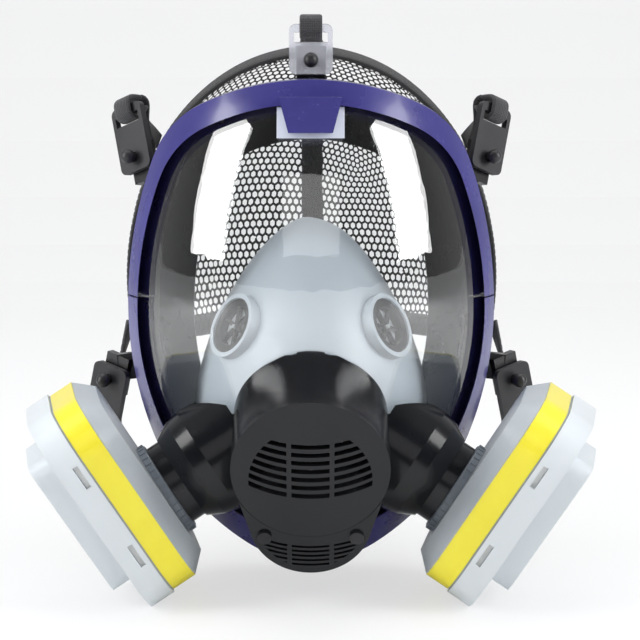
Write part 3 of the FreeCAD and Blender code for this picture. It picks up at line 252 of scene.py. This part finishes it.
finishes["lens_polycarbonate"] = clearMaterial("lens_polycarbonate", (0.97, 0.985, 0.99), 0.01, 1.0, 1.2,
                                               0.95)
lensSurface = finishes["lens_polycarbonate"].node_tree.nodes["Principled BSDF"]
for socket, value in (("Coat Weight", 1.0), ("Coat IOR", 1.8), ("Coat Roughness", 0.01)):
    lensSurface.inputs[socket].default_value = value
finishes["buckle_clear"] = clearMaterial("buckle_clear", (0.86, 0.87, 0.93), 0.22, 0.75, 1.35, 0.5)
finishes["retainer_clear"] = clearMaterial("retainer_clear", (0.84, 0.88, 0.91), 0.34, 0.35, 1.4, 0.35)
finishes["nose_cup_silicone"] = clearMaterial("nose_cup_silicone", (0.56, 0.61, 0.66), 0.36, 0.32, 1.4, 0.35)
print("finishes made:", len(finishes))


def webbing(name, look):
    # woven strap or binding: ribs and picks in its bump, fuzz plus painted shade in the grooves between ribs in
    # its colour, sheen at grazing angles
    material, tree, surface = newMaterial(name)
    weave = useGroup(tree, ribWeave, Rib=look["rib"], Pick=look["pick"])
    # base colour from Shade: painted shade in the weave's grooves plus random fuzz tone
    tree.links.new(mixColours(tree, weave.outputs["Shade"], look["dark"], look["light"]),
                   surface.inputs["Base Color"])
    tree.links.new(bump(tree, weave.outputs["Height"], look["bump"], 0.0004), surface.inputs["Normal"])
    surface.inputs["Roughness"].default_value = 0.85
    surface.inputs["Sheen Weight"].default_value = 0.25
    surface.inputs["Sheen Roughness"].default_value = 0.5
    return material


finishes["strap_webbing"] = webbing("strap_webbing",
                                    dict(rib=1.0, pick=0.7, bump=0.9, dark=(0.010, 0.010, 0.012),
                                                          light=(0.060, 0.060, 0.066)))
finishes["tape_fabric"] = webbing("tape_fabric", dict(rib=0.6, pick=0.6, bump=0.7, dark=(0.006, 0.006, 0.007),
                                                      light=(0.030, 0.030, 0.033)))
finishes["net_fabric"] = plastic("net_fabric", dict(dark=(0.010, 0.010, 0.011), light=(0.022, 0.022, 0.024),
                                                    rough=0.7,
                                                    fine=1800.0, bump=0.5, dust=0.0))
threadFinish = plastic("thread", dict(dark=(0.05, 0.05, 0.055), light=(0.09, 0.09, 0.095), rough=0.6))

slotOf = {entry["node"]: entry["material_slot"] for entry in frame["record"]["subparts"]}
for nodeName, piece in frame["nodes"].items():
    for slotIndex in range(len(piece.material_slots)):
        piece.material_slots[slotIndex].material = finishes[slotOf[nodeName]]
print("nodes finished")

# ---- harness: the dome that the net, its bindings and the straps' ends lie on
dome = dict(centre=Vector((0, 0.03243, 0.12882)), semi=Vector((0.086, 0.092, 0.113)),
            frontTop=Vector((0, 0.00043, 0.24182)),
            frontLow=Vector((0, 0.03643, 0.09282)), tapeWide=0.011, tapeThick=0.002, tapeGap=0.0002,
            bandGap=0.0003, edgeSteps=160, crownSteps=140)
lean = (dome["frontTop"] - dome["frontLow"]).normalized()
backwards = Vector((0, lean.z, -lean.y))


def onDome(way, grow):
    semi = [half + grow for half in dome["semi"]]
    reach = math.sqrt(sum((way[k] / semi[k]) ** 2 for k in range(3)))
    return dome["centre"] + way / reach


def domeNormal(point):
    away = point - dome["centre"]
    return Vector([away[k] / dome["semi"][k] ** 2 for k in range(3)]).normalized()


def planeOnDome(origin, across, up, grow, angle):
    # the point of the dome's skin in a plane, seen from an origin inside it
    semi = [half + grow for half in dome["semi"]]
    way = across * math.sin(angle) + up * math.cos(angle)
    start = origin - dome["centre"]
    a = sum((way[k] / semi[k]) ** 2 for k in range(3))
    b = 2 * sum(way[k] * start[k] / semi[k] ** 2 for k in range(3))
    c = sum((start[k] / semi[k]) ** 2 for k in range(3)) - 1
    return origin + way * ((-b + math.sqrt(b * b - 4 * a * c)) / (2 * a))


def linkPiece(name, vertices, faces, finish, body="facepiece", uvs=None, smooth=True):
    mesh = bpy.data.meshes.new(name)
    mesh.from_pydata([tuple(v) for v in vertices], [], faces)
    if uvs is not None:
        layer = mesh.uv_layers.new(name="UVMap")
        for loop in mesh.loops:
            layer.data[loop.index].uv = uvs[loop.vertex_index]
    for polygon in mesh.polygons:
        polygon.use_smooth = smooth
    mesh.materials.append(finish)
    piece = bpy.data.objects.new(name, mesh)
    scene.collection.objects.link(piece)
    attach(piece, body)
    return piece


def sweepStrap(name, points, sides, wide, thick, finish):
    # a flat strap with rounded edges swept along points; sides are the directions across it
    outline = []
    bulge = thick / 2
    for x, sign in ((-wide / 2 + bulge, -1), (wide / 2 - bulge, 1)):
        for step in range(5):
            turn = math.pi / 2 * sign * -1 + sign * math.pi * step / 4
            outline.append((x + sign * bulge * math.cos(turn), bulge * math.sin(turn)))
    vertices, uvs, travelled = [], [], 0.0
    for number, point in enumerate(points):
        before, after = points[max(number - 1, 0)], points[min(number + 1, len(points) - 1)]
        along = (after - before).normalized()
        side = (sides[number] - along * along.dot(sides[number])).normalized()
        off = along.cross(side)
        travelled += (point - before).length
        for x, z in outline:
            vertices.append(point + side * x + off * z)
            uvs.append((x * 1000, travelled * 1000))
    ring = len(outline)
    faces = []
    for number in range(len(points) - 1):
        for k in range(ring):
            a, b = number * ring + k, number * ring + (k + 1) % ring
            faces.append((a, a + ring, b + ring, b))
    faces.append(tuple(range(ring)))
    faces.append(tuple(reversed(range((len(points) - 1) * ring, len(points) * ring))))
    return linkPiece(name, vertices, faces, finish, uvs=uvs)


half = dome["tapeWide"] / 2
tapeLift = dome["tapeGap"] + dome["tapeThick"] / 2
tapes = {}
edgeOrigin = dome["frontLow"] + lean * 0.07 + backwards * half
lowAngle = 2.35
edgePoints = [planeOnDome(edgeOrigin, Vector((1, 0, 0)), lean, tapeLift,
                          -lowAngle + 2 * lowAngle * n / dome["edgeSteps"])
              for n in range(dome["edgeSteps"] + 1)]
edgePoints = [p for p in edgePoints if p.z > dome["frontLow"].z + 0.0005]
tapes["edgeBinding"] = (edgePoints, "harness_edge_tape")
napeAngle = 1.75
napeOrigin = Vector((0, dome["centre"].y, dome["frontLow"].z + half))
napePoints = [planeOnDome(napeOrigin, Vector((1, 0, 0)), Vector((0, 1, 0)), tapeLift,
                          -napeAngle + 2 * napeAngle * n / dome["edgeSteps"])
              for n in range(dome["edgeSteps"] + 1)]
napePoints = [p for p in napePoints if (p - edgeOrigin).dot(backwards) > half + dome["bandGap"]]
tapes["napeBinding"] = (napePoints, "harness_nape_band")
crownFrom, crownSweep = -0.6, 2.8
crownOrigin = dome["centre"].copy()
crownPoints = [planeOnDome(crownOrigin, Vector((0, 1, 0)), Vector((0, 0, 1)), tapeLift,
                           crownFrom + crownSweep * n / dome["crownSteps"])
               for n in range(dome["crownSteps"] + 1)]
crownPoints = [p for p in crownPoints
               if (p - edgeOrigin).dot(backwards) > half + dome["bandGap"] and p.z > napeOrigin.z + half]
tapes["crownBinding"] = (crownPoints, "harness_crown_band")
stitchLines = []
for name, (points, nodeName) in tapes.items():
    sides = []
    for number, point in enumerate(points):
        along = (points[min(number + 1, len(points) - 1)] - points[max(number - 1, 0)]).normalized()
        sides.append(domeNormal(point).cross(along).normalized())
    piece = sweepStrap(name, points, sides, dome["tapeWide"], dome["tapeThick"], finishes["tape_fabric"])
    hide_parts(nodeName)
    for offset in (-half + 0.0018, half - 0.0018):
        stitchLines.append([p + s * offset + domeNormal(p) * (dome["tapeThick"] / 2)
                            for p, s in zip(points, sides)])
print("bindings made")

# ---- straps looped round each buckle's bar
strap = dict(wide=0.010, thick=0.002, bottom=0.0012, plate=0.003, rise=0.0015, endGap=0.0007)
buckles = {
    "top": dict(along=(0, 0, 1), slotAt=0.0105, long=0.022, end=(0, 0.00643, 0.23682)),
    "temple_left": dict(along=(-0.25, 0.2, 0.9), slotAt=0.018, long=0.031, end=(-0.070, 0.01743, 0.19482)),
    "temple_right": dict(along=(0.25, 0.2, 0.9), slotAt=0.018, long=0.031, end=(0.070, 0.01743, 0.19482)),
    "cheek_left": dict(along=(-0.1, 0.3, -1), slotAt=0.018, long=0.031, end=(-0.084, 0.03843, 0.10782)),
    "cheek_right": dict(along=(0.1, 0.3, -1), slotAt=0.018, long=0.031, end=(0.084, 0.03843, 0.10782)),
}
jointOf = {joint["name"]: joint for joint in frame["joints"]}


def smoothPath(points, steps):
    # Catmull-Rom through the points
    padded = [points[0] * 2 - points[1], *points, points[-1] * 2 - points[-2]]
    result = []
    for k in range(1, len(padded) - 2):
        a, b, c, d = padded[k - 1:k + 3]
        for n in range(steps):
            t = n / steps
            result.append(0.5 * ((2 * b) + (c - a) * t + (2 * a - 5 * b + 4 * c - d) * t * t
                                 + (3 * b - a - 3 * c + d) * t ** 3))
    return result + [points[-1]]


for name, given in buckles.items():
    joint = jointOf[f"buckle_{name}_swivel"]
    stud, zAxis = Vector(joint["pos_m"]), Vector(joint["axis"]).normalized()
    xAxis = Vector(given["along"]).cross(zAxis).normalized()
    yAxis = zAxis.cross(xAxis)
    y = given["slotAt"]
    endBar = given["long"] / 2 + y / 2
    front, behind = strap["bottom"] + strap["plate"] + strap["rise"], strap["bottom"] - strap["rise"]
    middle = strap["bottom"] + strap["plate"] / 2
    out = endBar + 0.0016
    route = [(y + 0.0055, behind - 0.0055), (y + 0.0012, behind - 0.001), (y, middle),
             (y + 0.0015, front - 0.0002),
             (y + 0.0038, front + 0.0003), (out, front - 0.0002), (out + 0.0018, middle),
             (out + 0.0018, behind - 0.003),
             (out + 0.0008, behind - 0.0055)]
    points = [stud + yAxis * a + zAxis * b for a, b in route]
    end = onDome(Vector(given["end"]) - dome["centre"],
                 dome["tapeGap"] + dome["tapeThick"] + strap["thick"] / 2 + strap["endGap"])
    offNet = domeNormal(end)
    ahead = (end - points[-1]).normalized()
    sideEnd = ahead.cross(offNet).normalized()
    if sideEnd.dot(xAxis) < 0:
        sideEnd = -sideEnd
    points += [points[-1].lerp(end, 0.45) + offNet * 0.002, end]
    path = smoothPath(points, 6)
    loop = 6 * (len(route) - 1)
    sides = [xAxis.lerp(sideEnd, max(0.0, (n - loop) / (len(path) - 1 - loop))) for n in range(len(path))]
    pieceName = "webbing_" + name
    piece = sweepStrap(pieceName, path, sides, strap["wide"], strap["thick"], finishes["strap_webbing"])
    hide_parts(f"strap_{name}")
    tail = path[-8:]
    for offset in (-0.0032, 0.0032):
        stitchLines.append([p + s.normalized() * offset + offNet * (strap["thick"] / 2)
                            for p, s in zip(tail, sides[-8:])])
print("straps made")

# ---- what repeats: the net's cells, the stitches and the rings' grips, grown by geometry nodes


def newTree(name, inputs):
    tree = bpy.data.node_groups.new(name, "GeometryNodeTree")
    tree.interface.new_socket("Geometry", in_out="INPUT", socket_type="NodeSocketGeometry")
    tree.interface.new_socket("Geometry", in_out="OUTPUT", socket_type="NodeSocketGeometry")
    for label, (kind, value) in inputs.items():
        tree.interface.new_socket(label, in_out="INPUT", socket_type=kind).default_value = value
    return tree, tree.nodes.new("NodeGroupInput"), tree.nodes.new("NodeGroupOutput")


def add(tree, kind, links=None, values=None, **settings):
    node = tree.nodes.new(kind)
    for label, value in settings.items():
        setattr(node, label, value)
    for label, value in (values or {}).items():
        node.inputs[label].default_value = value
    for label, socket in (links or {}).items():
        tree.links.new(socket, node.inputs[label])
    return node


def grow(name, tree, inputs, finish, slot, body, start=None):
    # runs a tree on a start mesh and keeps the result as a plain mesh
    carrier = bpy.data.objects.new(name + "_carrier", start or bpy.data.meshes.new(name + "_start"))
    scene.collection.objects.link(carrier)
    modifier = carrier.modifiers.new("Grow", "NODES")
    modifier.node_group = tree
    idOf = {item.name: item.identifier for item in tree.interface.items_tree if item.in_out == "INPUT"}
    for label, value in inputs.items():
        modifier[idOf[label]] = value
    bpy.context.view_layer.update()
    graph = bpy.context.evaluated_depsgraph_get()
    mesh = bpy.data.meshes.new_from_object(carrier.evaluated_get(graph), depsgraph=graph)
    bpy.data.objects.remove(carrier)
    mesh.materials.clear()
    mesh.materials.append(finish)
    piece = bpy.data.objects.new(name, mesh)
    scene.collection.objects.link(piece)
    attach(piece, body)
    return piece


net = dict(subdivisions=6, strand=0.70, sink=0.0008)


def netTree():
    tree, given, result = newTree("knittedNet", {
        "Opening": ("NodeSocketFloat", 0.7), "Half Size": ("NodeSocketVector", (0.1, 0.1, 0.1)),
        "Middle": ("NodeSocketVector", (0, 0, 0)), "Front Point": ("NodeSocketVector", (0, 0, 0)),
        "Backwards": ("NodeSocketVector", (0, 1, 0)), "Bottom": ("NodeSocketFloat", 0.0)})
    ball = add(tree, "GeometryNodeMeshIcoSphere", values={"Radius": 1.0, "Subdivisions": net["subdivisions"]})
    cells = add(tree, "GeometryNodeDualMesh", {"Mesh": ball.outputs[0]})
    where = add(tree, "GeometryNodeInputPosition").outputs[0]
    stretched = add(tree, "ShaderNodeVectorMath", operation="MULTIPLY_ADD")
    tree.links.new(where, stretched.inputs[0])
    tree.links.new(given.outputs["Half Size"], stretched.inputs[1])
    tree.links.new(given.outputs["Middle"], stretched.inputs[2])
    placed = add(tree, "GeometryNodeSetPosition",
                 {"Geometry": cells.outputs[0], "Position": stretched.outputs[0]})
    offset = add(tree, "ShaderNodeVectorMath", operation="SUBTRACT")
    tree.links.new(where, offset.inputs[0])
    tree.links.new(given.outputs["Front Point"], offset.inputs[1])
    depth = add(tree, "ShaderNodeVectorMath", operation="DOT_PRODUCT")
    tree.links.new(offset.outputs[0], depth.inputs[0])
    tree.links.new(given.outputs["Backwards"], depth.inputs[1])
    ahead = mathNode(tree, "LESS_THAN", depth.outputs["Value"], 0.002)
    split = add(tree, "ShaderNodeSeparateXYZ", {"Vector": where})
    below = mathNode(tree, "LESS_THAN", split.outputs["Z"], given.outputs["Bottom"])
    away = mathNode(tree, "MAXIMUM", ahead, below)
    trimmed = add(tree, "GeometryNodeDeleteGeometry", {"Geometry": placed.outputs[0], "Selection": away},
                  domain="FACE")
    rims = add(tree, "GeometryNodeExtrudeMesh", {"Mesh": trimmed.outputs[0]}, {"Offset Scale": 0.0},
               mode="FACES")
    shrunk = add(tree, "GeometryNodeScaleElements",
                 {"Geometry": rims.outputs["Mesh"], "Selection": rims.outputs["Top"],
                                                     "Scale": given.outputs["Opening"]}, domain="FACE")
    opened = add(tree, "GeometryNodeDeleteGeometry",
                 {"Geometry": shrunk.outputs[0], "Selection": rims.outputs["Top"]},
                 domain="FACE", mode="ONLY_FACE")
    solidNet = add(tree, "GeometryNodeRealizeInstances", {"Geometry": opened.outputs[0]})
    finished = add(tree, "GeometryNodeSetMaterial", {"Geometry": solidNet.outputs[0]},
                   {"Material": finishes["net_fabric"]})
    tree.links.new(finished.outputs[0], result.inputs[0])
    return tree


netPiece = grow("knittedNet", netTree(), {
    "Opening": net["strand"], "Half Size": [h - net["sink"] for h in dome["semi"]],
    "Middle": list(dome["centre"]),
    "Front Point": list(dome["frontLow"]), "Backwards": list(backwards), "Bottom": dome["frontLow"].z + 0.002,
}, finishes["net_fabric"], "net_fabric", "facepiece")
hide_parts("harness_net")
# the cut is a spread half dome; its area counts the knit's strands and leaves out the open cells
print("net made:", len(netPiece.data.polygons), "strand faces,",
      round(sum(f.area for f in netPiece.data.polygons), 5), "square metres")

stitch = dict(pitch=0.0032, long=0.0021, radius=0.00022)


def stitchTree():
    tree, given, result = newTree("lockStitch",
                                  {"Pitch": ("NodeSocketFloat", 0.003), "Long": ("NodeSocketFloat", 0.002),
                                                 "Radius": ("NodeSocketFloat", 0.0002)})
    curve = add(tree, "GeometryNodeMeshToCurve", {"Mesh": given.outputs["Geometry"]})
    spots = add(tree, "GeometryNodeCurveToPoints",
                {"Curve": curve.outputs[0], "Length": given.outputs["Pitch"]},
                mode="LENGTH")
    thread = add(tree, "GeometryNodeMeshCylinder",
                 {"Radius": given.outputs["Radius"], "Depth": given.outputs["Long"]},
                 {"Vertices": 6})
    laid = add(tree, "GeometryNodeInstanceOnPoints",
               {"Points": spots.outputs["Points"], "Instance": thread.outputs["Mesh"],
                                                      "Rotation": spots.outputs["Rotation"]})
    real = add(tree, "GeometryNodeRealizeInstances", {"Geometry": laid.outputs[0]})
    done = add(tree, "GeometryNodeSetMaterial", {"Geometry": real.outputs[0]}, {"Material": threadFinish})
    tree.links.new(done.outputs[0], result.inputs[0])
    return tree


seams = bpy.data.meshes.new("seamLines")
seamPoints, seamEdges = [], []
for line in stitchLines:
    first = len(seamPoints)
    seamPoints += [tuple(p) for p in line]
    seamEdges += [(first + n, first + n + 1) for n in range(len(line) - 1)]
seams.from_pydata(seamPoints, seamEdges, [])
stitches = grow("bindingStitches", stitchTree(), {"Pitch": stitch["pitch"], "Long": stitch["long"],
                                                  "Radius": stitch["radius"]}, threadFinish, "strap_webbing",
                "facepiece", seams)
print("stitches made:", len(stitches.data.polygons))

grip = dict(count=36, radius=0.0214, height=0.0021, wide=0.0011, deep=0.0010, tall=0.0026)


def gripTree():
    tree, given, result = newTree("ringGrips", {"Count": ("NodeSocketInt", 36),
                                                "Radius": ("NodeSocketFloat", 0.02),
                                                "Rib": ("NodeSocketVector", (0.001, 0.001, 0.002))})
    circle = add(tree, "GeometryNodeMeshCircle",
                 {"Vertices": given.outputs["Count"], "Radius": given.outputs["Radius"]})
    turn = add(tree, "FunctionNodeAlignRotationToVector",
               {"Vector": add(tree, "GeometryNodeInputPosition").outputs[0]},
               axis="X")
    rib = add(tree, "GeometryNodeMeshCube", {"Size": given.outputs["Rib"]})
    laid = add(tree, "GeometryNodeInstanceOnPoints",
               {"Points": circle.outputs[0], "Instance": rib.outputs["Mesh"],
                                                      "Rotation": turn.outputs[0]})
    real = add(tree, "GeometryNodeRealizeInstances", {"Geometry": laid.outputs[0]})
    done = add(tree, "GeometryNodeSetMaterial", {"Geometry": real.outputs[0]},
               {"Material": finishes["ring_grey"]})
    tree.links.new(done.outputs[0], result.inputs[0])
    return tree


gripMaker = gripTree()
for side, sign in (("left", -1), ("right", 1)):
    ribs = grow("ringGrips_" + side, gripMaker, {"Count": grip["count"], "Radius": grip["radius"],
                                                 "Rib": [grip["deep"], grip["wide"], grip["tall"]]},
                finishes["ring_grey"], "ring_grey", f"cartridge_{side}")
    joint = jointOf[f"cartridge_{side}_twist"]
    outward = Vector((sign * 0.83, -0.13, -0.54)).normalized()
    turnTo = outward.to_track_quat("Z", "Y").to_matrix().to_4x4()
    turnTo.translation = Vector(joint["pos_m"]) + outward * grip["height"]
    ribs.data.transform(turnTo)
print("ring grips made")

# ---- studio: pale floor and backdrop, a window-shaped lamp at each side, one overhead and a soft front fill
studio = dict(target=Vector((0.004, -0.060, 0.123)), distance=0.95, elevation=8.0, lens=122.0)
lamps = {
    "windowLeft": dict(place=(-0.90, -0.35, 0.55), wide=0.45, tall=0.75, power=7.5),
    "windowRight": dict(place=(0.90, -0.35, 0.55), wide=0.45, tall=0.75, power=7),
    "overhead": dict(place=(0, 0.25, 1.5), wide=1.6, tall=1.2, power=10),
    "frontFill": dict(place=(0, -2.2, 0.9), wide=1.6, tall=1.0, power=4),
}


def stagePiece(name, vertices, faces, finish):
    mesh = bpy.data.meshes.new(name)
    mesh.from_pydata(vertices, [], faces)
    mesh.materials.append(finish)
    piece = bpy.data.objects.new(name, mesh)
    scene.collection.objects.link(piece)
    return piece


def paleStage():
    material, tree, surface = newMaterial("palePaper")
    surface.inputs["Base Color"].default_value = (0.88, 0.89, 0.90, 1)
    surface.inputs["Roughness"].default_value = 0.9
    glow = tree.nodes.new("ShaderNodeEmission")
    glow.inputs["Strength"].default_value = 1.0
    path = tree.nodes.new("ShaderNodeLightPath")
    seen = mathNode(tree, "MAXIMUM", path.outputs["Is Camera Ray"], path.outputs["Is Transmission Ray"])
    blendNode = tree.nodes.new("ShaderNodeMixShader")
    tree.links.new(mathNode(tree, "MULTIPLY", seen, 0.62), blendNode.inputs[0])
    tree.links.new(surface.outputs[0], blendNode.inputs[1])
    tree.links.new(glow.outputs[0], blendNode.inputs[2])
    tree.links.new(blendNode.outputs[0], tree.nodes["Material Output"].inputs["Surface"])
    return material


paper = paleStage()
profile = [(-3.0, 0.0), (0.9, 0.0)] + [(0.9 + 0.9 * math.sin(a), 0.9 - 0.9 * math.cos(a))
                                       for a in (math.pi / 2 * n / 12 for n in range(1, 13))] + [(1.8, 4.0)]
verts = [(x, y, z) for y, z in profile for x in (-3.5, 3.5)]
stagePiece("paperSweep", verts, [(2 * n, 2 * n + 1, 2 * n + 3, 2 * n + 2) for n in range(len(profile) - 1)],
           paper)


def softLamp(name, place, wide, tall, power, aim=(0, -0.03, 0.14)):
    lamp = bpy.data.lights.new(name, "AREA")
    lamp.shape = "RECTANGLE"
    lamp.size, lamp.size_y, lamp.energy = wide, tall, power
    holder = bpy.data.objects.new(name, lamp)
    holder.location = place
    holder.rotation_euler = (Vector(aim) - Vector(place)).to_track_quat("-Z", "Y").to_euler()
    scene.collection.objects.link(holder)


for lampName, lamp in lamps.items():
    softLamp(lampName, **lamp)
world = bpy.data.worlds.new("paleRoom")
scene.world = world
world.use_nodes = True
skyTree = world.node_tree
background = skyTree.nodes["Background"]
path = skyTree.nodes.new("ShaderNodeLightPath")
seen = mathNode(skyTree, "MAXIMUM", path.outputs["Is Camera Ray"],
                mathNode(skyTree, "MAXIMUM", path.outputs["Is Glossy Ray"],
                         path.outputs["Is Transmission Ray"]))
background.inputs["Color"].default_value = (1, 1, 1, 1)
# reflections see a dim room, darkest on the side that the mask faces
rays = skyTree.nodes.new("ShaderNodeTexCoord")
heading = skyTree.nodes.new("ShaderNodeSeparateXYZ")
skyTree.links.new(rays.outputs["Generated"], heading.inputs[0])
behindObject = mapRange(skyTree, heading.outputs["Y"], 0.05, 0.45, -0.6, 0.9)
plain = mapRange(skyTree, seen, 0.42, 1.0, 0.0, 1.0)
dim = mathNode(skyTree, "MULTIPLY", path.outputs["Is Glossy Ray"],
               mathNode(skyTree, "SUBTRACT", 1.0, behindObject))
skyTree.links.new(mathNode(skyTree, "SUBTRACT", plain, dim), background.inputs["Strength"])

camera = bpy.data.objects.new("camera", bpy.data.cameras.new("camera"))
scene.collection.objects.link(camera)
tilt = math.radians(studio["elevation"])
camera.location = studio["target"] + Vector((0, -math.cos(tilt), math.sin(tilt))) * studio["distance"]
camera.rotation_euler = (studio["target"] - camera.location).to_track_quat("-Z", "Y").to_euler()
camera.data.lens = studio["lens"]
scene.camera = camera
scene.view_settings.view_transform = "Standard"
print("studio made")
